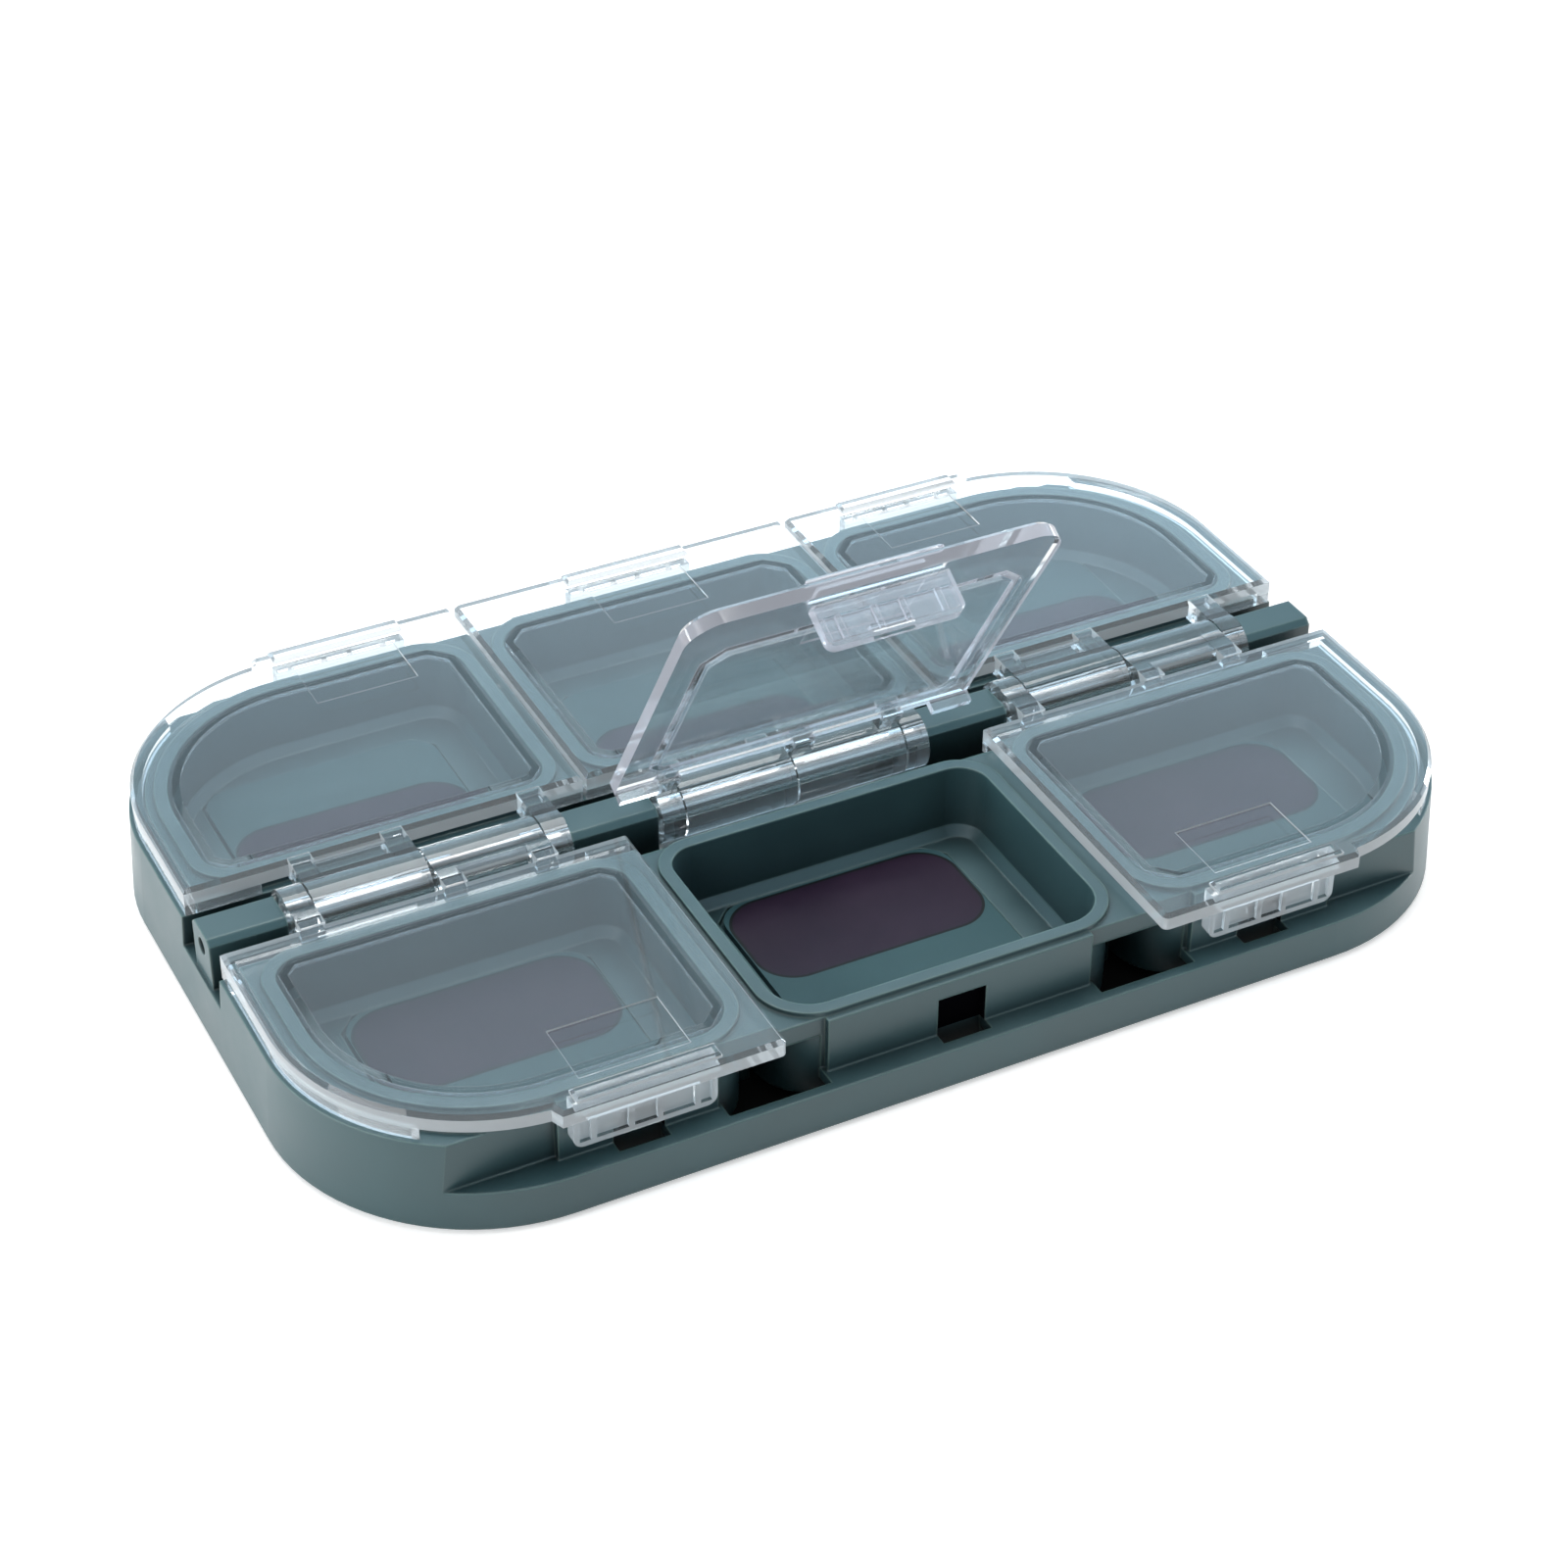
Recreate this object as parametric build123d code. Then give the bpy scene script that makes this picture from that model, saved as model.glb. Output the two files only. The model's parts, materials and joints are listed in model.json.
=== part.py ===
from build123d import *
from math import pi, sqrt, tan
import os

os.makedirs("parts", exist_ok=True)

# A shallow tackle box: one tray with six compartments in two rows, six clear lids on one hinge rod.
# Millimetres. X runs along the box, Y from the front row to the back row, Z up.
# The origin is the middle of the underside.

# Tray outside
case_length = 121.8
case_width = 77.0
case_corner_radius = 21.0
wall_draft_angle = 3.2
deck_height = 10.4
border_step = 0.7
border_width = 2.25
foot_edge = 0.5
outer_wall = 1.4
deck_thickness = 1.3

# Compartments
seam_offset = 19.3
tub_wall = 1.3
tub_gap_to_seam = 2.35
tub_end_margin = 4.4
tub_front_margin = 4.8
hinge_strip = 0.9
tub_floor_height = 3.2
tub_floor_thickness = 1.7
tub_draft_angle = 1.5
tub_floor_edge = 0.9
tub_hinge_corner_radius = 3.0
tub_front_corner_radius = 4.2
rim_height = 0.5

# Magnetic sheets
sheet_length = 24.6
sheet_width = 20.4
sheet_thickness = 0.8
sheet_corner_radius = 3.0
sheet_near_margin = 1.6
sheet_shift_inward = 0.5
sheet_recess_depth = 0.5
sheet_recess_clearance = 0.25

# Latch recess along the front and the back
ledge_height = 4.5
ledge_thickness = 1.2
ledge_lip = 1.3
recess_end_margin = 8.9
latch_end_margin = 28.3
block_depth = 0.7
block_length_middle = 27.6
block_length_end = 15.6
pocket_length = 10.2
pocket_foot = 0.9
window_length = 5.0
window_drop = 1.8
window_depth = 0.9
window_notch = 1.3

# Hinge
hinge_drop = 0.4
knuckle_radius = 3.1
channel_half_width = 5.2
channel_floor_gap = 0.5
channel_floor_thickness = 1.2
bar_half_width = 2.3
bar_top_rise = 1.9
bar_edge = 0.6
bar_end_inset = 0.16
bar_end_length = 7.7
bar_seam_length = 9.0
rod_radius = 0.85
rod_end_inset = 0.5
rod_press_clearance = 0.02
rod_running_clearance = 0.06
knuckle_gap = 0.2
end_knuckle_length = 2.4
arm_length = 2.2
tongue_reach = 3.9
tongue_height = 0.9

# Lids
lid_gap = 0.4
lid_inset = 0.9
lid_lip = 1.2
lid_lip_past_latch = 9.0
lid_lip_step = 0.5
lid_hinge_gap = 0.2
lid_seam_corner_radius = 0.6
open_lid_corner_radius = 3.5
lid_thickness = 1.7
lid_rim_gap = 0.15
lid_top_chamfer = 0.4
lid_flange_width = 1.1
lid_hinge_flange_width = 0.9
bead_clearance = 0.45
bead_width = 0.8
bead_depth = 0.5
panel_length = 10.8
panel_width = 7.0
panel_edge_margin = 2.4
panel_depth = 0.2
open_angle = 59.0

# Latch on each lid
grip_length = 13.9
grip_width = 1.75
grip_rise = 0.55
grip_lip_margin = 0.5
grip_edge = 0.25
skirt_clearance = 0.3
skirt_thickness = 1.3
skirt_drop = 4.3
skirt_corner_radius = 1.0
skirt_cell_depth = 0.4
skirt_frame = 0.55
skirt_cell_top = 2.9
skirt_centre_cell = 2.2
skirt_small_cell = 1.1
catch_length = 4.2
catch_reach = 0.55
catch_height = 1.0
catch_gap = 0.3

# Worked out from the sizes above
case_half = case_length / 2
case_edge = case_width / 2
border_height = deck_height - border_step
rim_top = deck_height + rim_height
plate_bottom = rim_top + lid_rim_gap
plate_top = plate_bottom + lid_thickness
flange_bottom = border_height + lid_rim_gap
tub_end = case_half - tub_end_margin
tub_front = case_edge - tub_front_margin
tub_case_corner_radius = case_corner_radius - tub_front_margin
tub_hinge_side = channel_half_width + hinge_strip + tub_wall
tub_wall_face = tub_front + tub_wall
tub_middle_half = seam_offset - tub_gap_to_seam
tub_end_start = seam_offset + tub_gap_to_seam
block_face = tub_wall_face + block_depth
latch_offset = case_half - latch_end_margin
window_top = deck_height - window_drop
hinge_height = deck_height - hinge_drop
channel_floor_height = hinge_height - knuckle_radius - channel_floor_gap
bar_end = case_half - border_height * tan(wall_draft_angle * pi / 180) - bar_end_inset
lid_end = case_half - lid_inset
lid_hinge_edge = channel_half_width - lid_hinge_gap
lid_front_edge = case_edge - lid_inset
lid_lip_edge = lid_front_edge + lid_lip
lid_lip_start = latch_offset + lid_lip_past_latch
lid_corner_radius = case_corner_radius - lid_inset
skirt_inner = block_face + skirt_clearance
skirt_outer = skirt_inner + skirt_thickness
tall = 4 * deck_height


def span(x0, x1, y0, y1, z0, z1):
    """A box between two corners."""
    size = (x1 - x0, y1 - y0, z1 - z0)
    return Pos((x0 + x1) / 2, (y0 + y1) / 2, (z0 + z1) / 2) * Box(*size)


def rounded(sketch, x, y, radius):
    """Round the corner of a flat outline that is nearest to a point."""
    corner = sketch.vertices().sort_by_distance((x, y, 0))[0]
    return fillet(corner, radius)


def block_outline(x0, x1, y0, y1):
    return make_face(Polyline((x0, y0), (x1, y0), (x1, y1), (x0, y1), close=True))


def both_rows(shape):
    """A front shape and its copy mirrored to the back."""
    return [shape, mirror(shape, about=Plane.XZ)]


def tub_outline_middle(margin):
    """The middle front compartment, grown by a margin."""
    half = tub_middle_half + margin
    near = -(tub_hinge_side - margin)
    far = -(tub_front + margin)
    flat = block_outline(-half, half, far, near)
    for side in (-half, half):
        flat = rounded(flat, side, near, tub_hinge_corner_radius + margin)
        flat = rounded(flat, side, far, tub_front_corner_radius + margin)
    return flat


def tub_outline_right(margin):
    """The right front compartment, grown by a margin."""
    start = tub_end_start - margin
    end = tub_end + margin
    near = -(tub_hinge_side - margin)
    far = -(tub_front + margin)
    flat = block_outline(start, end, far, near)
    flat = rounded(flat, start, near, tub_hinge_corner_radius + margin)
    flat = rounded(flat, end, near, tub_hinge_corner_radius + margin)
    flat = rounded(flat, start, far, tub_front_corner_radius + margin)
    return rounded(flat, end, far, tub_case_corner_radius + margin)


def tub_outlines(margin):
    """The three front compartments by column name."""
    right = tub_outline_right(margin)
    left = mirror(right, about=Plane.YZ)
    return {"left": left, "middle": tub_outline_middle(margin), "right": right}


def tub_body(outline):
    """The outside of one compartment, up to its rim."""
    foot = tub_floor_height - tub_floor_thickness
    return extrude(Pos(0, 0, foot) * outline, rim_top - foot)


def tub_cavity(outline):
    """The inside of one compartment, open above, with a chamfered foot."""
    depth = rim_top - tub_floor_height
    cavity = extrude(Pos(0, 0, rim_top) * outline, -depth, taper=tub_draft_angle)
    cavity = chamfer(cavity.faces().sort_by(Axis.Z)[0].edges(), tub_floor_edge)
    return cavity + extrude(Pos(0, 0, rim_top) * outline, 1.0)


def sheet_centre(column):
    """Where a magnetic sheet lies in its compartment, in the front row."""
    middle = (tub_end_start + tub_end) / 2 - sheet_shift_inward
    return column * middle, -(tub_hinge_side + sheet_near_margin + sheet_width / 2)


def sheet_recess_outline():
    """The sheet's recess, with straight corner cuts that touch the sheet's rounded corners."""
    flat = Rectangle(sheet_length + 2 * sheet_recess_clearance, sheet_width + 2 * sheet_recess_clearance)
    return chamfer(flat.vertices(), (sheet_corner_radius + sheet_recess_clearance) * (2 - sqrt(2)))


def case_outline(inset):
    size = (case_length - 2 * inset, case_width - 2 * inset)
    return RectangleRounded(*size, case_corner_radius - inset)


def case_shell():
    """The outer wall, its lower border and the raised deck, and the hollow under them."""
    body = extrude(case_outline(0), border_height, taper=wall_draft_angle)
    body = chamfer(body.faces().sort_by(Axis.Z)[0].edges(), foot_edge)
    body += extrude(Pos(0, 0, border_height - 1) * case_outline(border_width), border_step + 1)
    hollow = extrude(case_outline(outer_wall), border_height - deck_thickness, taper=wall_draft_angle)
    return body, hollow


def recess_parts(envelope):
    """What the front latch recess adds to the tray: its ledge, its back wall and the latch blocks."""
    reach = case_half - recess_end_margin
    edge = case_edge + 1
    ledge = span(-reach, reach, -edge, -tub_front, ledge_height - ledge_thickness, ledge_height)
    wall = span(-reach, reach, -tub_wall_face, -tub_front, ledge_height - ledge_thickness, deck_height)
    parts = (ledge + wall) & envelope
    blocks = [span(*block_span(c), -block_face, -tub_front, ledge_height, deck_height) for c in (-1, 0, 1)]
    return [parts] + blocks


def block_span(column):
    """The two ends of one latch block along X."""
    length = block_length_end if column else block_length_middle
    return column * latch_offset - length / 2, column * latch_offset + length / 2


def recess_cuts():
    """What the front latch recess takes away: the space over the ledge, the open pockets and the windows."""
    reach = case_half - recess_end_margin
    edge = case_edge + 1
    room = span(-reach, reach, -edge, -tub_wall_face, ledge_height, deck_height + 1)
    for column in (-1, 0, 1):
        room -= span(*block_span(column), -block_face, -tub_front, ledge_height, tall)
    cuts = [room]
    lip = case_edge - ledge_lip
    for side in (-1, 1):
        middle = side * seam_offset
        ends = (middle - pocket_length / 2, middle + pocket_length / 2)
        pocket_top = border_height - deck_thickness
        pocket = span(*ends, -lip, -tub_front + 2, pocket_foot, pocket_top)
        pocket -= span(*ends, -lip, -tub_wall_face, ledge_height, pocket_top)
        for outline in tub_outlines(tub_wall).values():
            pocket -= extrude(outline, tall)
        cuts.append(pocket)
    for column in (-1, 0, 1):
        middle = column * latch_offset
        ends = (middle - window_length / 2, middle + window_length / 2)
        back = -(block_face - window_depth)
        cuts.append(span(*ends, -(block_face + window_notch), back, 0, window_top))
    return cuts


def hinge_bar(x0, x1):
    """A bar of the tray that carries the rod, with two chamfered edges along its top."""
    foot = channel_floor_height - channel_floor_thickness
    top = hinge_height + bar_top_rise
    bar = span(x0, x1, -bar_half_width, bar_half_width, foot, top)
    edges = bar.edges().filter_by(Axis.X).group_by(Axis.Z)[-1]
    return chamfer(edges, bar_edge)


def bar_spans():
    """The ends of the four hinge bars along X."""
    inner = bar_end - bar_end_length
    near = seam_offset - bar_seam_length / 2
    far = seam_offset + bar_seam_length / 2
    return [(-bar_end, -inner), (-far, -near), (near, far), (inner, bar_end)]


def base_tray():
    """The one-piece tray: case, deck, six compartments, hinge channel, ribs and latch recesses."""
    body, hollow = case_shell()
    tray = body - hollow
    strip = channel_half_width + hinge_strip
    spine_foot = channel_floor_height - channel_floor_thickness
    tray += span(-case_length, case_length, -strip - 0.2, strip + 0.2, spine_foot, border_height) & body
    rib = tub_gap_to_seam - tub_wall
    tray += span(-case_length, case_length, -rib, rib, 0, spine_foot) & body
    for side in (-1, 1):
        x = side * seam_offset
        tray += span(x - rib, x + rib, -tub_front + 5, tub_front - 5, 0, deck_height)
    tray -= span(-case_length, case_length, -strip, strip, border_height, tall)
    for shape in both_rows(recess_parts(body)[0]):
        tray += shape
    for outline in tub_outlines(tub_wall).values():
        for shape in both_rows(tub_body(outline)):
            tray += shape
    for block in recess_parts(body)[1:]:
        for shape in both_rows(block):
            tray += shape
    for cut in recess_cuts():
        for shape in both_rows(cut):
            tray -= shape
    for outline in tub_outlines(0).values():
        for shape in both_rows(tub_cavity(outline)):
            tray -= shape
    for column in (-1, 0, 1):
        x, y = sheet_centre(column)
        foot = tub_floor_height - sheet_recess_depth
        recess = extrude(Pos(x, y, foot) * sheet_recess_outline(), 1.0)
        for shape in both_rows(recess):
            tray -= shape
    half = channel_half_width
    tray -= span(-case_length, case_length, -half, half, channel_floor_height, tall)
    for x0, x1 in bar_spans():
        tray += hinge_bar(x0, x1)
    bore = Cylinder(rod_radius + rod_press_clearance, 2 * case_length)
    return tray - Pos(0, 0, hinge_height) * Rot(0, 90, 0) * bore


def hinge_rod():
    """The one steel rod through all six lids."""
    rod = Cylinder(rod_radius, 2 * (bar_end - rod_end_inset))
    return Pos(0, 0, hinge_height) * Rot(0, 90, 0) * rod


def magnetic_sheet(column, row):
    """One magnetic sheet, in its recess in the compartment floor."""
    x, y = sheet_centre(column)
    foot = tub_floor_height - sheet_recess_depth
    flat = RectangleRounded(sheet_length, sheet_width, sheet_corner_radius)
    sheet = extrude(Pos(x, y, foot) * flat, sheet_thickness)
    return mirror(sheet, about=Plane.XZ) if row == "back" else sheet


def lid_outline_middle(radius):
    """A middle lid: two straight seam edges and the lip over the latch recess."""
    half = seam_offset - lid_gap / 2
    flat = block_outline(-half, half, -lid_lip_edge, -lid_hinge_edge)
    for side in (-half, half):
        flat = rounded(flat, side, -lid_lip_edge, radius)
    return flat


def lid_outline_right():
    """A right lid: a straight seam edge, a lip over the latch recess, and the case's round corner."""
    start = seam_offset + lid_gap / 2
    flat = block_outline(start, lid_end, -lid_front_edge, -lid_hinge_edge)
    flat = rounded(flat, lid_end, -lid_front_edge, lid_corner_radius)
    inner = -(lid_front_edge - lid_lip)
    lip = make_face(
        Polyline(
            (start, inner),
            (start, -lid_lip_edge),
            (lid_lip_start - lid_lip_step, -lid_lip_edge),
            (lid_lip_start, -lid_front_edge),
            (lid_lip_start, inner),
            close=True,
        )
    )
    return rounded(flat + lip, start, -lid_lip_edge, lid_seam_corner_radius)


def end_flange_right():
    """The turned-down edge of a right lid, over the case's lower border."""
    strip = extrude(Pos(0, 0, flange_bottom) * lid_outline_right(), plate_bottom - flange_bottom)
    far = lid_end - lid_flange_width
    front = lid_front_edge - lid_flange_width
    inner = block_outline(0, far, -front, 0)
    inner = rounded(inner, far, -front, lid_corner_radius - lid_flange_width)
    strip -= extrude(inner, tall)
    return strip - span(0, case_half - recess_end_margin + 0.2, -case_width, 0, 0, tall)


def hinge_flanges(column):
    """The turned-down hinge edge of a lid on both sides of its knuckles."""
    start, end = knuckle_zone(column)
    if column:
        first = seam_offset + lid_gap / 2
        last = lid_end
    else:
        first = -(seam_offset - lid_gap / 2)
        last = -first
    near = (-(lid_hinge_edge + lid_hinge_flange_width), -lid_hinge_edge)
    left = span(first, start, *near, flange_bottom, plate_bottom)
    return left + span(end, last, *near, flange_bottom, plate_bottom)


def bead_outline(column, inset):
    """A front compartment drawn in by an inset, with its small corners cut straight."""
    near = -(tub_hinge_side + inset)
    far = -(tub_front - inset)
    hinge_cut = (tub_hinge_corner_radius - inset) * (2 - sqrt(2))
    front_cut = (tub_front_corner_radius - inset) * (2 - sqrt(2))
    start = tub_end_start + inset if column else -(tub_middle_half - inset)
    end = tub_end - inset if column else tub_middle_half - inset
    flat = block_outline(start, end, far, near)
    flat = chamfer(flat.vertices().sort_by(Axis.Y)[-2:], hinge_cut)
    if column == 0:
        return chamfer(flat.vertices().sort_by(Axis.Y)[:2], front_cut)
    flat = rounded(flat, end, far, tub_case_corner_radius - inset)
    return chamfer(flat.vertices().sort_by_distance((start, far, 0))[0], front_cut)


def lid_bead(column):
    """The thin bead under a middle or right lid, just inside its compartment's rim."""
    ring = bead_outline(column, bead_clearance) - bead_outline(column, bead_clearance + bead_width)
    return extrude(Pos(0, 0, plate_bottom - bead_depth) * ring, bead_depth + 0.1)


def latch(middle):
    """The grip bar on a front lid, and under the lid's lip the framed skirt with its catch."""
    x0 = middle - grip_length / 2
    x1 = middle + grip_length / 2
    outer = lid_lip_edge - grip_lip_margin
    grip = span(x0, x1, -outer, grip_width - outer, plate_bottom, plate_top + grip_rise)
    grip = chamfer(grip.faces().sort_by(Axis.Z)[-1].edges(), grip_edge)
    foot = plate_bottom - skirt_drop
    skirt = span(x0, x1, -skirt_outer, -skirt_inner, foot, plate_bottom + 0.2)
    corners = skirt.edges().filter_by(Axis.Y).group_by(Axis.Z)[0]
    skirt = fillet(corners, skirt_corner_radius)
    for centre, length in skirt_cells():
        ends = (middle + centre - length / 2, middle + centre + length / 2)
        face = (-(skirt_outer + 1), -(skirt_outer - skirt_cell_depth))
        skirt -= span(*ends, *face, foot + skirt_frame, foot + skirt_cell_top)
    return grip + skirt + catch(middle)


def skirt_cells():
    """Centre and length of the five sunk cells across a latch skirt."""
    inner = grip_length - 2 * skirt_frame
    large = (inner - skirt_centre_cell - 2 * skirt_small_cell - 4 * skirt_frame) / 2
    large_at = skirt_centre_cell / 2 + skirt_frame + large / 2
    small_at = large_at + large / 2 + skirt_frame + skirt_small_cell / 2
    cells = [(0, skirt_centre_cell)]
    for side in (-1, 1):
        cells.append((side * large_at, large))
        cells.append((side * small_at, skirt_small_cell))
    return cells


def catch(middle):
    """The wedge behind the skirt that snaps under the window's top edge, drawn in section."""
    top = window_top - catch_gap
    section = make_face(
        Polyline(
            (-skirt_inner - 0.1, top),
            (-(block_face - catch_reach), top),
            (-(block_face - catch_reach), top - 0.2),
            (-skirt_inner - 0.1, top - catch_height),
            close=True,
        )
    )
    across = Plane(origin=(middle - catch_length / 2, 0, 0), x_dir=(0, 1, 0), z_dir=(1, 0, 0))
    return extrude(across * section, catch_length)


def knuckle(x0, x1):
    """A clear hinge barrel."""
    length = x1 - x0
    return Pos((x0 + x1) / 2, 0, hinge_height) * Rot(0, 90, 0) * Cylinder(knuckle_radius, length)


def arm(x0, x1):
    """An arm from a barrel to a front lid's hinge edge."""
    top = hinge_height + knuckle_radius
    return span(x0, x1, -(lid_hinge_edge + 0.3), 0, plate_bottom - 0.4, min(top, plate_top + 0.2))


def tongue(x0, x1):
    """A ledge along the side of a barrel that leaves a slot before the lid's hinge edge."""
    top = hinge_height + knuckle_radius - 0.2
    return span(x0, x1, -tongue_reach, 0, top - tongue_height, top)


def knuckle_zone(column):
    """The space between two hinge bars along X."""
    spans = bar_spans()
    return spans[column + 1][1], spans[column + 2][0]


def front_hinge(column):
    """The front lid's narrow knuckle at the left, and its long barrel over the right half, on two arms."""
    start, end = knuckle_zone(column)
    x0 = start + knuckle_gap
    x1 = x0 + end_knuckle_length
    body = knuckle(x0, x1) + arm(x0, x1)
    x2 = (start + end) / 2 + knuckle_gap / 2
    x3 = end - end_knuckle_length - 2 * knuckle_gap
    body += knuckle(x2, x3) + tongue(x2, x3)
    return body + arm(x2, x2 + arm_length) + arm(x3 - arm_length, x3)


def front_lid(column, corner_radius):
    """One clear lid of the front row, closed."""
    flat = lid_outline_right() if column else lid_outline_middle(corner_radius)
    plate = extrude(Pos(0, 0, plate_bottom) * flat, lid_thickness)
    plate = chamfer(plate.faces().sort_by(Axis.Z)[-1].edges(), lid_top_chamfer)
    plate += hinge_flanges(abs(column)) + lid_bead(abs(column))
    if column:
        plate += end_flange_right()
    if column < 0:
        plate = mirror(plate, about=Plane.YZ)
    middle = column * latch_offset
    panel_near = lid_front_edge - panel_edge_margin - panel_width
    ends = (middle - panel_length / 2, middle + panel_length / 2)
    plate -= span(*ends, -(panel_near + panel_width), -panel_near, plate_top - panel_depth, tall)
    plate += latch(middle) + front_hinge(column)
    bore = Cylinder(rod_radius + rod_running_clearance, 2 * case_length)
    return plate - Pos(0, 0, hinge_height) * Rot(0, 90, 0) * bore


def lid(column, row):
    """A lid in its place: a back lid is the front lid across the box, turned half round."""
    if row == "back":
        return front_lid(-column, lid_seam_corner_radius).rotate(Axis.Z, 180)
    if column:
        return front_lid(column, lid_seam_corner_radius)
    return opened(front_lid(0, open_lid_corner_radius), open_angle)


def opened(shape, angle):
    """Turn a front lid up about the hinge rod."""
    return shape.rotate(Axis((0, 0, hinge_height), (1, 0, 0)), -angle)


export_step(base_tray(), "parts/base_tray.step")
export_step(hinge_rod(), "parts/hinge_rod.step")

for row in ("front", "back"):
    for column, column_name in ((-1, "left"), (0, "middle"), (1, "right")):
        export_step(magnetic_sheet(column, row), f"parts/magnetic_sheet_{row}_{column_name}.step")
        export_step(lid(column, row), f"parts/lid_{row}_{column_name}.step")
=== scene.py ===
import json
import math
import bpy
from mathutils import Matrix, Vector

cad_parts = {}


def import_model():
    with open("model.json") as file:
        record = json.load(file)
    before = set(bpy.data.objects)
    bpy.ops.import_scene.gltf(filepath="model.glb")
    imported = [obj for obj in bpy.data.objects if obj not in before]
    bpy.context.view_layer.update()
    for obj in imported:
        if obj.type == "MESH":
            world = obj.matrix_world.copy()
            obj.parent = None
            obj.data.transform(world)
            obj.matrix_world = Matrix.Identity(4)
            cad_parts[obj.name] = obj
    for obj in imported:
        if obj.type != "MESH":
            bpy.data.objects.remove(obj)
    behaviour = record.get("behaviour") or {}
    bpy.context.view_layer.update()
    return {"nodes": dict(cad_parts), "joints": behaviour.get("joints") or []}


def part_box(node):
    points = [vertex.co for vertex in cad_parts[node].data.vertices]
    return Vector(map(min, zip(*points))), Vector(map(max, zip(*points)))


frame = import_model()

MM = 0.001

OPEN_LID = "lid_front_middle"
SHUT_LIDS = [name for name in frame["nodes"] if name.startswith("lid_") and name != OPEN_LID]
SHEETS = [name for name in frame["nodes"] if name.startswith("magnetic_sheet_")]

# Boxes of the frame that the other places are worked out from
LID_LOW, LID_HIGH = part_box("lid_back_right")
ROD_LOW, ROD_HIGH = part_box("hinge_rod")
SHEET_LOW, SHEET_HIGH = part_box("magnetic_sheet_front_right")
HINGE_HEIGHT = (ROD_LOW[2] + ROD_HIGH[2]) / 2

# The open lid is shut at its hinge's lower limit, so that limit says how far it stands open, in degrees
OPEN_HINGE = next(joint for joint in frame["joints"] if joint["child"] == OPEN_LID)
OPEN_ANGLE = -OPEN_HINGE["range_deg"][0]

# Camera, from the photograph's perspective, in degrees and metres, with its lens in millimetres
CAMERA_AZIMUTH = -27.3
CAMERA_ELEVATION = 36.2
CAMERA_ROLL = 0.5
CAMERA_DISTANCE = 337 * MM
CAMERA_LENS = 78.5
CAMERA_SENSOR = 36.0
CAMERA_NEAR = 0.01
CAMERA_FAR = 20.0
CAMERA_TARGET = Vector((-0.2, -0.2, 9.0)) * MM

# The case's corner radius, and how far inside its edge the painted shade on the floor under it starts
CASE_CORNER = 21.0 * MM
UNDER_CASE = 2.0 * MM

# From the hinge axis past a lid's barrels, past the flange at its hinge side, and to where its latch starts
BARREL_REACH = 4.4 * MM
FLANGE_REACH = 6.0 * MM
LATCH_REACH = LID_HIGH[1] - 3.9 * MM

# From the hinge axis up to the underside of a shut lid's plate, and from there down to the top of its bead
PLATE_RISE = 1.05 * MM
BEAD_DROP = 0.02 * MM

# From the case's edge in past the flange along the round side of an end lid
FLANGE_INSET = 2.2 * MM

# The lengths over which a lid's frost fades in at the barrels, at the plate's underside and at the latch
BARREL_FADE = 0.3 * MM
PLATE_FADE = 0.1 * MM
LATCH_FADE = 0.3 * MM

# The latch windows on the tray with a small margin: middle of the outer ones, half width, depth and heights
WINDOW_OFFSET = LID_LOW[0] + 13.1 * MM
WINDOW_HALF = 2.6 * MM
WINDOW_FACE = LID_HIGH[1] - 3.2 * MM
WINDOW_BACK = WINDOW_FACE - 1.0 * MM
WINDOW_FOOT = 4.4 * MM
WINDOW_HEAD = 8.65 * MM

# The magnets' outline on the sheets: a little shorter than they are, much narrower, and near the hinge
MAGNET_OFFSET = (SHEET_LOW[0] + SHEET_HIGH[0]) / 2
MAGNET_LENGTH = SHEET_HIGH[0] - SHEET_LOW[0] - 0.2 * MM
MAGNET_WIDTH = 12.6 * MM
MAGNET_REACH = -SHEET_HIGH[1] + 0.2 * MM + MAGNET_WIDTH / 2
MAGNET_CORNER = 4.0 * MM
MAGNET_GAP = 0.3 * MM

# The range that noise values mostly lie in
NOISE_SPAN = (0.3, 0.7)

WHITE = (1, 1, 1, 1)
BLACK = (0, 0, 0, 1)

# Tray plastic: dark teal, its broad clouds, its edges paler from wear and a painted highlight, and painted
# shade in the windows where no light comes back
TRAY_DARK = (0.024, 0.060, 0.068)
TRAY_PALE = (0.032, 0.075, 0.083)
TRAY_CLOUD = (0.039, 0.083, 0.094, 1)
TRAY_WORN_HIGHLIGHT = (0.16, 0.26, 0.235, 1)
WINDOW_SHADE = (0.002, 0.002, 0.003, 1)
TRAY_ROUGHNESS = (0.32, 0.44)
CLOUD_SHARE = 0.25
WEAR_AND_HIGHLIGHT_SHARE = 0.70
EDGE_RADIUS = 0.35 * MM
SCUFF_CELLS = (500, 3200, 900)

# Painted shade in the tray's corners and pockets: how near their walls are, the openness that counts, and the
# brightness left where they are deepest
CREVICE_WIDTH = 7 * MM
CREVICE_SPAN = (0.25, 0.92)
CREVICE_SHADE_LEVEL = 0.10

# Cosine between the rounded and the true normal on a flat face and along a sharp edge
EDGE_COSINES = (0.995, 0.75)

# Lid plastic: its tint, and the colour of what shines straight through it
LID_TINTS = ((0.93, 0.965, 0.98), (0.955, 0.98, 0.99))
LID_SHADE = (0.88, 0.93, 0.95, 1)
LID_ROUGHNESS = (0.01, 0.05)
HAIRLINE_CELLS = (260, 9000, 900)
BEAD_CLEARNESS = 0.85

# The milky side faces of the shut lids and of the open one: angle, frost, share of it on the latch, colour
SHUT_PLASTIC = (0.0, 0.42, 0.75, (0.74, 0.79, 0.83, 1))
OPEN_PLASTIC = (OPEN_ANGLE, 0.36, 0.65, (0.73, 0.74, 0.83, 1))

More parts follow.
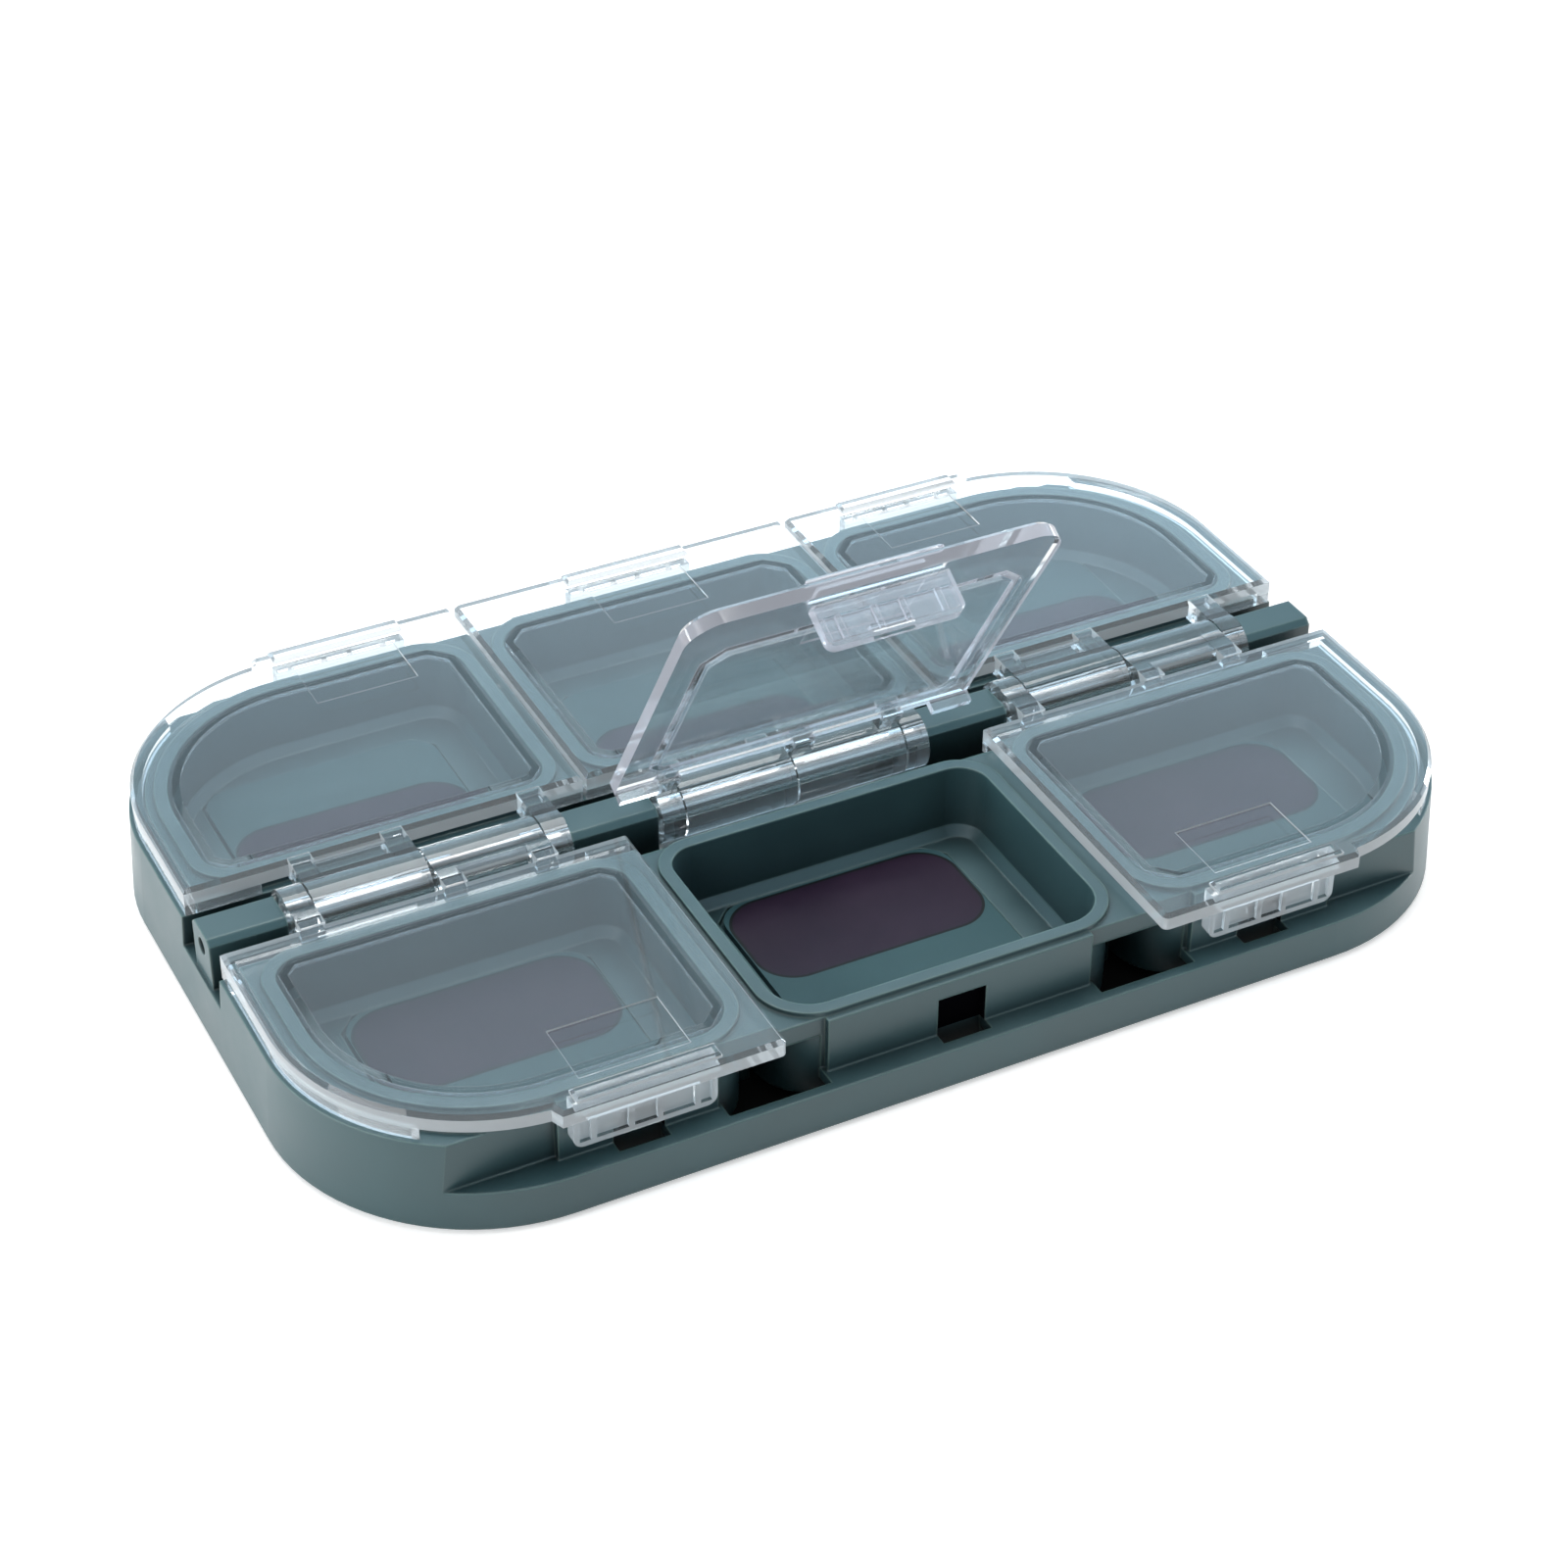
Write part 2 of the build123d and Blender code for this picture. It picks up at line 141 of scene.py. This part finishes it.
# The share of that frost below a plate, and the cosines to the plate's normal that it fades in between
LOW_FROST = 0.3
SIDE_COSINES = (0.75, 0.2)

# Magnet sheet: dark plum, and the painted shadow in the gap around it
SHEET_PLUM = ((0.011, 0.004, 0.014), (0.017, 0.007, 0.019))
SHEET_GAP_SHADE = (0.002, 0.003, 0.003, 1)
SHEET_ROUGHNESS = (0.38, 0.46)
SHEET_SPECULAR = 0.18
ROLLED_CELLS = (120, 1400, 120)

# Rod steel: bright, and stained
STEEL_BRIGHT = (0.36, 0.34, 0.33)
STEEL_STAINED = (0.24, 0.20, 0.18)
STEEL_ROUGHNESS = (0.22, 0.4)
DRAWN_CELLS = (60, 16000, 16000)

# The floor: its size, its drop below the case, its white, its painted shade under the case, and its glow
FLOOR_SIZE = 6.0
FLOOR_DROP = 0.02 * MM
FLOOR_WHITE = (0.82, 0.82, 0.82, 1)
FLOOR_SHADE_UNDER = (0.02, 0.02, 0.02, 1)
FLOOR_GLOW = 0.42

# The surround: its light on the object and where it is seen, and its colour as polished surfaces mirror it
SURROUND_LIGHT = 0.45
SURROUND_SEEN = 1.0
GLOSSY_SURROUND = (0.57, 0.79, 0.96, 1)

# The mirrored surround is brighter low down: its strength, and the heights that it fades between
LOW_SURROUND = 1.9
SURROUND_HEIGHTS = (0.60, 0.52)

# Lamps: name, place, aim, width and height, and power in watts
LAMPS = (
    ("overhead", (0.05, 0.15, 0.60), (0, 0, 0), (0.50, 0.50), 4.2),
    ("left", (-0.60, -0.10, 0.30), (0, 0, 0.01), (0.40, 0.40), 1.8),
    ("left_strip", (-0.50, 0.10, 0.035), (0, 0, 0.01), (0.40, 0.05), 1.1),
    ("right_strip", (0.50, 0.0, 0.035), (0, 0, 0.01), (0.40, 0.05), 1.5),
)


# Nodes and small node groups


def new_material(name):
    """A material with an empty node tree, and that tree."""
    material = bpy.data.materials.new(name)
    material.use_nodes = True
    tree = material.node_tree
    tree.nodes.clear()
    return material, tree


def add(tree, kind, **values):
    """A node of one kind, with its properties and input sockets set by name."""
    node = tree.nodes.new(kind)
    for key, value in values.items():
        if hasattr(node, key):
            setattr(node, key, value)
        else:
            node.inputs[key.replace("_", " ")].default_value = value
    return node


def feed(tree, value, socket):
    """Link a socket's output to an input, or set a constant there."""
    if isinstance(value, bpy.types.NodeSocket):
        tree.links.new(value, socket)
    else:
        socket.default_value = value


def maths(tree, operation, first, second=None):
    """One step of arithmetic; the second value is a socket or a constant."""
    node = add(tree, "ShaderNodeMath", operation=operation)
    tree.links.new(first, node.inputs[0])
    if second is not None:
        feed(tree, second, node.inputs[1])
    return node.outputs[0]


def product(tree, first, *others):
    """Several values multiplied."""
    for other in others:
        first = maths(tree, "MULTIPLY", first, other)
    return first


def vector_maths(tree, operation, first, second=None):
    """One step of vector arithmetic; the second value is a socket or a constant."""
    node = add(tree, "ShaderNodeVectorMath", operation=operation)
    tree.links.new(first, node.inputs[0])
    if second is not None:
        feed(tree, second, node.inputs[1])
    return node.outputs["Value" if operation in ("DOT_PRODUCT", "LENGTH") else "Vector"]


def axes_of(tree, vector):
    """The X, Y and Z of a vector, by name."""
    node = add(tree, "ShaderNodeSeparateXYZ")
    tree.links.new(vector, node.inputs[0])
    return node.outputs


def beyond(tree, along, across):
    """The length of two values side by side, each counted only above zero."""
    past = add(tree, "ShaderNodeCombineXYZ")
    tree.links.new(maths(tree, "MAXIMUM", along, 0.0), past.inputs["X"])
    tree.links.new(maths(tree, "MAXIMUM", across, 0.0), past.inputs["Y"])
    return vector_maths(tree, "LENGTH", past.outputs[0])


def remap(tree, value, span, result=(0.0, 1.0)):
    """A value's span stretched to another one, and held at its ends."""
    node = add(tree, "ShaderNodeMapRange")
    names = ("From Min", "From Max", "To Min", "To Max")
    for name, limit in zip(names, (*span, *result)):
        node.inputs[name].default_value = limit
    tree.links.new(value, node.inputs["Value"])
    return node.outputs["Result"]


def object_place(tree):
    """Object coordinates, which are metres in the part's own frame."""
    return add(tree, "ShaderNodeTexCoord").outputs["Object"]


def noise(tree, place, cells, detail):
    """A noise value at so many cells per metre."""
    node = add(tree, "ShaderNodeTexNoise", Scale=cells, Detail=detail)
    tree.links.new(place, node.inputs["Vector"])
    return node.outputs["Fac"]


def streaks(tree, cells, detail):
    """A noise value at its own number of cells per metre along each axis."""
    mapping = add(tree, "ShaderNodeMapping", Scale=cells)
    tree.links.new(object_place(tree), mapping.inputs["Vector"])
    return noise(tree, mapping.outputs["Vector"], 1.0, detail)


def ramp(tree, value, span, colours):
    """A colour between two over a span of a value."""
    node = add(tree, "ShaderNodeValToRGB")
    for element, position, colour in zip(node.color_ramp.elements, span, colours):
        element.position = position
        element.color = (*colour, 1)
    tree.links.new(value, node.inputs["Fac"])
    return node.outputs["Color"]


def bump(tree, height, distance, strength, normal=None):
    """A normal tilted by a height, over the face's own normal or the one given."""
    node = add(tree, "ShaderNodeBump", Strength=strength, Distance=distance)
    tree.links.new(height, node.inputs["Height"])
    if normal is not None:
        tree.links.new(normal, node.inputs["Normal"])
    return node.outputs["Normal"]


def edge_mask(tree, radius):
    """Near 1 along the sharp edges of a solid and 0 on its flat faces, with the rounded normal."""
    rounded = add(tree, "ShaderNodeBevel", samples=6, Radius=radius).outputs["Normal"]
    true_normal = add(tree, "ShaderNodeNewGeometry").outputs["True Normal"]
    cosine = vector_maths(tree, "DOT_PRODUCT", rounded, true_normal)
    return remap(tree, cosine, EDGE_COSINES), rounded


def mix_colour(tree, factor, first, second):
    """The first colour where the factor is 0 and the second where it is 1."""
    node = add(tree, "ShaderNodeMix", data_type="RGBA")
    feed(tree, factor, node.inputs[0])
    feed(tree, first, node.inputs[6])
    feed(tree, second, node.inputs[7])
    return node.outputs[2]


def mix_shader(tree, factor, first, second):
    """The first shader where the factor is 0 and the second where it is 1."""
    node = add(tree, "ShaderNodeMixShader")
    feed(tree, factor, node.inputs[0])
    tree.links.new(first, node.inputs[1])
    tree.links.new(second, node.inputs[2])
    return node.outputs["Shader"]


def plain_shader(tree, kind, colour):
    """A diffuse, translucent or transparent shader of one colour, for what is mixed into another."""
    node = add(tree, kind)
    feed(tree, colour, node.inputs["Color"])
    return node.outputs["BSDF"]


def principled(tree, colour, roughness, normal, **constants):
    """The main shader, with linked colour, roughness and normal, and constants on its own sockets."""
    shader = add(tree, "ShaderNodeBsdfPrincipled", **constants)
    tree.links.new(colour, shader.inputs["Base Color"])
    tree.links.new(roughness, shader.inputs["Roughness"])
    tree.links.new(normal, shader.inputs["Normal"])
    return shader.outputs["BSDF"]


def surface(tree, shader):
    """Make a shader the material's surface."""
    output = add(tree, "ShaderNodeOutputMaterial")
    tree.links.new(shader, output.inputs["Surface"])


# Masks and materials


def past_corners(tree, place):
    """How far a place lies outside the rectangle of the case's corner centres."""
    half_length, half_width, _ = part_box("base_tray")[1]
    axes = axes_of(tree, place)
    along = maths(tree, "SUBTRACT", maths(tree, "ABSOLUTE", axes["X"]), half_length - CASE_CORNER)
    across = maths(tree, "SUBTRACT", maths(tree, "ABSOLUTE", axes["Y"]), half_width - CASE_CORNER)
    return beyond(tree, along, across)


def crevice_shade(tree):
    """Painted shade: 1 on open faces, and darker in the tray's own narrow corners and pockets."""
    openness = add(tree, "ShaderNodeAmbientOcclusion", samples=8, only_local=True, Distance=CREVICE_WIDTH)
    return remap(tree, openness.outputs["AO"], CREVICE_SPAN, (CREVICE_SHADE_LEVEL, 1.0))


def latch_windows(tree):
    """1 on the back and sides of the six latch windows, where painted shade goes, and 0 elsewhere."""
    axes = axes_of(tree, object_place(tree))
    along = maths(tree, "ABSOLUTE", axes["X"])
    across = maths(tree, "ABSOLUTE", axes["Y"])
    from_end_latch = maths(tree, "ABSOLUTE", maths(tree, "SUBTRACT", along, WINDOW_OFFSET))
    nearest = maths(tree, "MINIMUM", along, from_end_latch)
    column = maths(tree, "LESS_THAN", nearest, WINDOW_HALF)
    sunk = maths(tree, "LESS_THAN", across, WINDOW_FACE)
    short_of_back = maths(tree, "GREATER_THAN", across, WINDOW_BACK)
    raised = maths(tree, "GREATER_THAN", axes["Z"], WINDOW_FOOT)
    low = maths(tree, "LESS_THAN", axes["Z"], WINDOW_HEAD)
    return product(tree, column, sunk, short_of_back, raised, low)


def tray_mottle(tree, place):
    """The patches of the tray's plastic, which vary its colour and its roughness."""
    return noise(tree, place, cells=90, detail=4)


def tray_colour(tree, place):
    """Dark teal, a little mottled, in broad paler clouds."""
    cloud = noise(tree, place, cells=18, detail=2)
    colour = ramp(tree, tray_mottle(tree, place), NOISE_SPAN, (TRAY_DARK, TRAY_PALE))
    return mix_colour(tree, remap(tree, cloud, NOISE_SPAN, (0.0, CLOUD_SHARE)), colour, TRAY_CLOUD)


def tray_plastic():
    """Dark teal moulded plastic: satin, faintly mottled, paler along its edges from wear and a painted
    highlight, with painted shade in its corners.
    """
    material, tree = new_material("tray_plastic")
    place = object_place(tree)
    edges, rounded = edge_mask(tree, EDGE_RADIUS)
    # Painted highlight with some wear: the sharp edges are mixed towards a pale teal
    worn_and_highlit = mix_colour(tree, product(tree, edges, WEAR_AND_HIGHLIGHT_SHARE), tray_colour(tree, place), TRAY_WORN_HIGHLIGHT)
    # Painted shade: the colour is darkened towards black where the tray's own walls close in
    shaded = mix_colour(tree, crevice_shade(tree), BLACK, worn_and_highlit)
    grain = noise(tree, place, cells=5200, detail=2)
    scuffs = streaks(tree, SCUFF_CELLS, detail=3)
    normal = bump(tree, grain, distance=0.008 * MM, strength=0.25, normal=rounded)
    normal = bump(tree, scuffs, distance=0.01 * MM, strength=0.2, normal=normal)
    roughness = remap(tree, tray_mottle(tree, place), NOISE_SPAN, TRAY_ROUGHNESS)
    plastic = principled(tree, shaded, roughness, normal)
    # Painted shade: the latch windows get a near-black diffuse in place of the plastic
    unlit = plain_shader(tree, "ShaderNodeBsdfDiffuse", WINDOW_SHADE)
    surface(tree, mix_shader(tree, latch_windows(tree), plastic, unlit))
    return material


def plate_normal(open_angle):
    """The direction up from a lid's plate, for a lid modelled open by an angle in degrees."""
    angle = math.radians(open_angle)
    return (0, math.sin(angle), math.cos(angle))


def lid_place(tree, place, open_angle):
    """Height over the hinge axis as if the lid were shut, and distance from that axis."""
    from_hinge = vector_maths(tree, "SUBTRACT", place, (0, 0, HINGE_HEIGHT))
    height = vector_maths(tree, "DOT_PRODUCT", from_hinge, plate_normal(open_angle))
    reach = vector_maths(tree, "LENGTH", vector_maths(tree, "MULTIPLY", from_hinge, (0, 1, 1)))
    return height, reach


def lid_bead(tree, open_angle):
    """1 on the thin bead under a lid and 0 elsewhere."""
    place = object_place(tree)
    height, reach = lid_place(tree, place, open_angle)
    low = maths(tree, "LESS_THAN", height, PLATE_RISE - BEAD_DROP)
    past_flange = maths(tree, "GREATER_THAN", reach, FLANGE_REACH)
    short_of_latch = maths(tree, "LESS_THAN", reach, LATCH_REACH)
    inside_flange = maths(tree, "LESS_THAN", past_corners(tree, place), CASE_CORNER - FLANGE_INSET)
    return product(tree, low, past_flange, short_of_latch, inside_flange)


def lid_sides(tree, open_angle):
    """1 on a lid's faces that stand square to its plate, and 0 on those along it."""
    true_normal = add(tree, "ShaderNodeNewGeometry").outputs["True Normal"]
    turned = add(
        tree, "ShaderNodeVectorTransform", vector_type="NORMAL", convert_from="WORLD", convert_to="OBJECT"
    )
    tree.links.new(true_normal, turned.inputs[0])
    cosine = vector_maths(tree, "DOT_PRODUCT", turned.outputs[0], plate_normal(open_angle))
    return remap(tree, maths(tree, "ABSOLUTE", cosine), SIDE_COSINES)


def lid_frost(tree, open_angle, latch_share):
    """How milky a lid is: on its side faces past the barrels, less below the plate, more on its latch."""
    height, reach = lid_place(tree, object_place(tree), open_angle)
    past_barrels = remap(tree, reach, (BARREL_REACH, BARREL_REACH + BARREL_FADE))
    plate = remap(tree, height, (PLATE_RISE - PLATE_FADE, PLATE_RISE), (LOW_FROST, 1.0))
    latch = remap(tree, reach, (LATCH_REACH - LATCH_FADE, LATCH_REACH), (0.0, latch_share))
    level = maths(tree, "MAXIMUM", plate, latch)
    return product(tree, lid_sides(tree, open_angle), level, past_barrels)


def milky(tree, colour):
    """Half diffuse and half translucent, so that frosted plastic glows a little from behind."""
    front = plain_shader(tree, "ShaderNodeBsdfDiffuse", colour)
    back = plain_shader(tree, "ShaderNodeBsdfTranslucent", colour)
    return mix_shader(tree, 0.5, front, back)


def passing_through(tree, open_angle):
    """Where light goes straight through: shadow and diffuse rays in the whole lid, most rays at its bead."""
    light = add(tree, "ShaderNodeLightPath").outputs
    soft_rays = maths(tree, "MAXIMUM", light["Is Shadow Ray"], light["Is Diffuse Ray"])
    return maths(tree, "MAXIMUM", soft_rays, product(tree, lid_bead(tree, open_angle), BEAD_CLEARNESS))


def lid_plastic(name, open_angle, frost, latch_share, frost_colour):
    """Clear moulded plastic: polished, slightly wavy, with hairline scratches and frosted edges."""
    material, tree = new_material(name)
    place = object_place(tree)
    waves = noise(tree, place, cells=110, detail=1)
    haze = noise(tree, place, cells=45, detail=3)
    hairlines = streaks(tree, HAIRLINE_CELLS, detail=2)
    normal = bump(tree, waves, distance=0.03 * MM, strength=0.14)
    normal = bump(tree, hairlines, distance=0.003 * MM, strength=0.12, normal=normal)
    tint = ramp(tree, haze, NOISE_SPAN, LID_TINTS)
    roughness = remap(tree, haze, NOISE_SPAN, LID_ROUGHNESS)
    polished = principled(tree, tint, roughness, normal, IOR=1.5, Transmission_Weight=0.98)
    straight = plain_shader(tree, "ShaderNodeBsdfTransparent", LID_SHADE)
    clear = mix_shader(tree, passing_through(tree, open_angle), polished, straight)
    frosted = product(tree, lid_frost(tree, open_angle, latch_share), frost)
    surface(tree, mix_shader(tree, frosted, clear, milky(tree, frost_colour)))
    return material


def magnet_distance(tree):
    """How far a point lies outside the magnet's rounded outline, and below zero inside it."""
    axes = axes_of(tree, object_place(tree))
    along = maths(tree, "ABSOLUTE", axes["X"])
    from_end_magnet = maths(tree, "ABSOLUTE", maths(tree, "SUBTRACT", along, MAGNET_OFFSET))
    along = maths(tree, "MINIMUM", along, from_end_magnet)
    across = maths(tree, "SUBTRACT", maths(tree, "ABSOLUTE", axes["Y"]), MAGNET_REACH)
    along = maths(tree, "SUBTRACT", along, MAGNET_LENGTH / 2 - MAGNET_CORNER)
    across = maths(tree, "SUBTRACT", maths(tree, "ABSOLUTE", across), MAGNET_WIDTH / 2 - MAGNET_CORNER)
    flat = maths(tree, "MINIMUM", maths(tree, "MAXIMUM", along, across), 0.0)
    from_core = maths(tree, "ADD", beyond(tree, along, across), flat)
    return maths(tree, "SUBTRACT", from_core, MAGNET_CORNER)


def sheet_rubber():
    """Flexible magnetic sheet: satin plum with a fine rolled grain, a painted shadow line for the gap and a
    teal margin round it.
    """
    material, tree = new_material("sheet_rubber")
    place = object_place(tree)
    patches = noise(tree, place, cells=140, detail=3)
    grain = noise(tree, place, cells=7000, detail=2)
    rolled = streaks(tree, ROLLED_CELLS, detail=1)
    plum = ramp(tree, patches, NOISE_SPAN, SHEET_PLUM)
    distance = magnet_distance(tree)
    # Painted shadow: a thin near-black line stands for the gap round the magnet
    colour = mix_colour(tree, maths(tree, "GREATER_THAN", distance, -MAGNET_GAP), plum, SHEET_GAP_SHADE)
    colour = mix_colour(tree, maths(tree, "GREATER_THAN", distance, 0.0), colour, tray_colour(tree, place))
    normal = bump(tree, grain, distance=0.006 * MM, strength=0.08)
    normal = bump(tree, rolled, distance=0.01 * MM, strength=0.06, normal=normal)
    roughness = remap(tree, patches, NOISE_SPAN, SHEET_ROUGHNESS)
    surface(tree, principled(tree, colour, roughness, normal, Specular_IOR_Level=SHEET_SPECULAR))
    return material


def rod_steel():
    """Drawn steel: fine lines along the rod, and a faint warm stain."""
    material, tree = new_material("rod_steel")
    drawn = streaks(tree, DRAWN_CELLS, detail=2)
    stain = noise(tree, object_place(tree), cells=160, detail=4)
    colour = ramp(tree, stain, (0.35, 0.7), (STEEL_BRIGHT, STEEL_STAINED))
    normal = bump(tree, drawn, distance=0.006 * MM, strength=0.5)
    roughness = remap(tree, drawn, NOISE_SPAN, STEEL_ROUGHNESS)
    surface(tree, principled(tree, colour, roughness, normal, Metallic=1.0))
    return material


def paint(names, material):
    """Give CAD nodes one material."""
    for name in names:
        for material_slot in frame["nodes"][name].material_slots:
            material_slot.material = material


# Floor, surround, lamps and camera


def seen_directly(tree):
    """1 for rays from the camera, from a mirror-like surface or through a clear one."""
    light = add(tree, "ShaderNodeLightPath").outputs
    seen = maths(tree, "MAXIMUM", light["Is Camera Ray"], light["Is Glossy Ray"])
    return maths(tree, "MAXIMUM", seen, light["Is Transmission Ray"])


def floor():
    """A plain white floor that keeps a soft shadow, with painted shade under the case."""
    bpy.ops.mesh.primitive_plane_add(size=FLOOR_SIZE, location=(0, 0, -FLOOR_DROP))
    plane = bpy.context.object
    plane.name = "floor"
    material, tree = new_material("floor_white")
    around = maths(tree, "GREATER_THAN", past_corners(tree, object_place(tree)), CASE_CORNER - UNDER_CASE)
    # Painted shade: under the case the floor is near black and gets none of its glow
    matt = plain_shader(tree, "ShaderNodeBsdfDiffuse", mix_colour(tree, around, FLOOR_SHADE_UNDER, FLOOR_WHITE))
    glow = add(tree, "ShaderNodeEmission", Color=WHITE)
    tree.links.new(product(tree, seen_directly(tree), FLOOR_GLOW, around), glow.inputs["Strength"])
    both = add(tree, "ShaderNodeAddShader")
    tree.links.new(matt, both.inputs[0])
    tree.links.new(glow.outputs["Emission"], both.inputs[1])
    surface(tree, both.outputs["Shader"])
    plane.data.materials.append(material)


def world():
    """A white surround: plain light on the object, and pure white where it is seen."""
    studio = bpy.data.worlds.new("studio")
    studio.use_nodes = True
    tree = studio.node_tree
    tree.nodes.clear()
    glossy = add(tree, "ShaderNodeLightPath").outputs["Is Glossy Ray"]
    direction = axes_of(tree, add(tree, "ShaderNodeTexCoord").outputs["Generated"])
    low = remap(tree, direction["Z"], SURROUND_HEIGHTS)
    seen = remap(tree, seen_directly(tree), (0, 1), (SURROUND_LIGHT, SURROUND_SEEN))
    mirrored = remap(tree, product(tree, low, glossy), (0, 1), (1.0, LOW_SURROUND))
    background = add(tree, "ShaderNodeBackground")
    tree.links.new(mix_colour(tree, glossy, WHITE, GLOSSY_SURROUND), background.inputs["Color"])
    tree.links.new(product(tree, seen, mirrored), background.inputs["Strength"])
    output = add(tree, "ShaderNodeOutputWorld")
    tree.links.new(background.outputs["Background"], output.inputs["Surface"])
    bpy.context.scene.world = studio


def area_lamp(name, place, aim, size, power):
    """A soft lamp of a width and a height that points at a place."""
    data = bpy.data.lights.new(name, "AREA")
    data.shape = "RECTANGLE"
    data.size, data.size_y = size
    data.energy = power
    lamp = bpy.data.objects.new(name, data)
    bpy.context.scene.collection.objects.link(lamp)
    lamp.location = place
    direction = Vector(aim) - Vector(place)
    lamp.rotation_mode = "QUATERNION"
    lamp.rotation_quaternion = direction.to_track_quat("-Z", "Y")


def camera():
    """The photograph's view, from the front left and above."""
    azimuth = math.radians(CAMERA_AZIMUTH)
    elevation = math.radians(CAMERA_ELEVATION)
    towards = Vector((
        math.sin(azimuth) * math.cos(elevation),
        -math.cos(azimuth) * math.cos(elevation),
        math.sin(elevation),
    ))
    data = bpy.data.cameras.new("camera")
    data.sensor_width = CAMERA_SENSOR
    data.lens = CAMERA_LENS
    data.clip_start = CAMERA_NEAR
    data.clip_end = CAMERA_FAR
    eye = bpy.data.objects.new("camera", data)
    bpy.context.scene.collection.objects.link(eye)
    eye.location = CAMERA_TARGET + towards * CAMERA_DISTANCE
    turn = (-towards).to_track_quat("-Z", "Y").to_matrix().to_4x4()
    roll = Matrix.Rotation(math.radians(CAMERA_ROLL), 4, "Z")
    eye.rotation_mode = "QUATERNION"
    eye.rotation_quaternion = (turn @ roll).to_quaternion()
    bpy.context.scene.camera = eye


bpy.context.scene.view_settings.view_transform = "Standard"
paint(["base_tray"], tray_plastic())
paint(SHUT_LIDS, lid_plastic("lid_plastic", *SHUT_PLASTIC))
paint([OPEN_LID], lid_plastic("lid_plastic_open", *OPEN_PLASTIC))
paint(SHEETS, sheet_rubber())
paint(["hinge_rod"], rod_steel())
floor()
world()
for lamp in LAMPS:
    area_lamp(*lamp)
camera()
